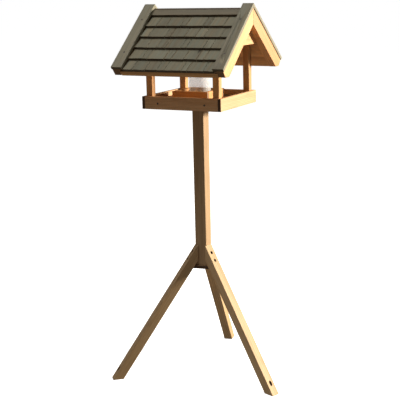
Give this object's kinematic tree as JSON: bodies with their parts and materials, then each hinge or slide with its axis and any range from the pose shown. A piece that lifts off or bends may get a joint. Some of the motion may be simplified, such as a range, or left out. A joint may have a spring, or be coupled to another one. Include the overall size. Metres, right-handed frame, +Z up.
{
  "type": "bird feeder on pole",
  "caption": "Wooden bird table: a railed tray under a shingled gable roof, with a clear seed silo in a small box, on a square pole with splayed legs.",
  "frame": {"origin": "middle of the footprint, on the ground", "axes": "+Z up along the pole; +X along the roof's ridge, towards the right gable; +Y from front to back. The stand is turned ten degrees under the house, as it stands."},
  "size_m": [0.6366, 0.6148, 1.3767],
  "materials": {
    "box_wood": "stained red-brown, satin",
    "clear_tube": "clear, faintly ribbed, glossy",
    "gable_wood": "planed pine, satin",
    "leg_wood": "planed pine, satin",
    "plate_wood": "sawn pine",
    "pole_wood": "planed pine, satin",
    "post_wood": "planed pine, oiled",
    "rail_wood": "planed pine, satin",
    "roof_wood": "planed, greyed",
    "screws": "dull, darkened zinc",
    "shingle_wood": "rough sawn, greyed"
  },
  "bodies": {
    "house": {"pole": "pole_wood", "leg_right": "leg_wood", "leg_left": "leg_wood", "leg_back": "leg_wood", "hub_plate": "plate_wood", "hub_screw": "screws", "leg_screws": "screws", "mount_plate": "plate_wood", "pole_top_screws": "screws", "mount_plate_screws": "screws", "floor_board": "plate_wood", "rail_front": "rail_wood", "rail_back": "rail_wood", "rail_left": "rail_wood", "rail_right": "rail_wood", "floor_screws": "screws", "post_front_left": "post_wood", "post_front_right": "post_wood", "post_back_left": "post_wood", "post_back_right": "post_wood", "post_screws": "screws", "box_front": "box_wood", "box_back": "box_wood", "box_left": "box_wood", "box_right": "box_wood", "box_screws": "screws", "silo_locator": "plate_wood", "locator_screw": "screws", "rafter_front_left": "gable_wood", "rafter_front_right": "gable_wood", "rafter_back_left": "gable_wood", "rafter_back_right": "gable_wood", "gable_panel_left": "gable_wood", "gable_panel_right": "gable_wood", "gable_screws": "screws", "sarking_front": "post_wood", "sarking_back": "post_wood", "roof_post_screws": "screws", "starter_front": "post_wood", "starter_back": "post_wood", "shingles_front_1": "shingle_wood", "shingles_front_2": "shingle_wood", "shingles_front_3": "shingle_wood", "shingles_front_4": "shingle_wood", "shingles_front_5": "shingle_wood", "shingles_back_1": "shingle_wood", "shingles_back_2": "shingle_wood", "shingles_back_3": "shingle_wood", "shingles_back_4": "shingle_wood", "shingles_back_5": "shingle_wood", "ridge_board_front": "roof_wood", "ridge_board_back": "roof_wood", "barge_front_left": "roof_wood", "barge_front_right": "roof_wood", "barge_back_left": "roof_wood", "barge_back_right": "roof_wood", "barge_screws": "screws"},
    "silo_tube": {"silo_tube": "clear_tube"},
    "silo_lid": {"silo_lid": "plate_wood"}
  },
  "joints": [
    {"name": "tube_lift", "type": "slide", "parent": "house", "child": "silo_tube", "axis": [0, 0, 1], "range_m": [0, 0.04]},
    {"name": "lid_lift", "type": "slide", "parent": "silo_tube", "child": "silo_lid", "axis": [0, 0, 1], "range_m": [0, 0.04]}
  ]
}
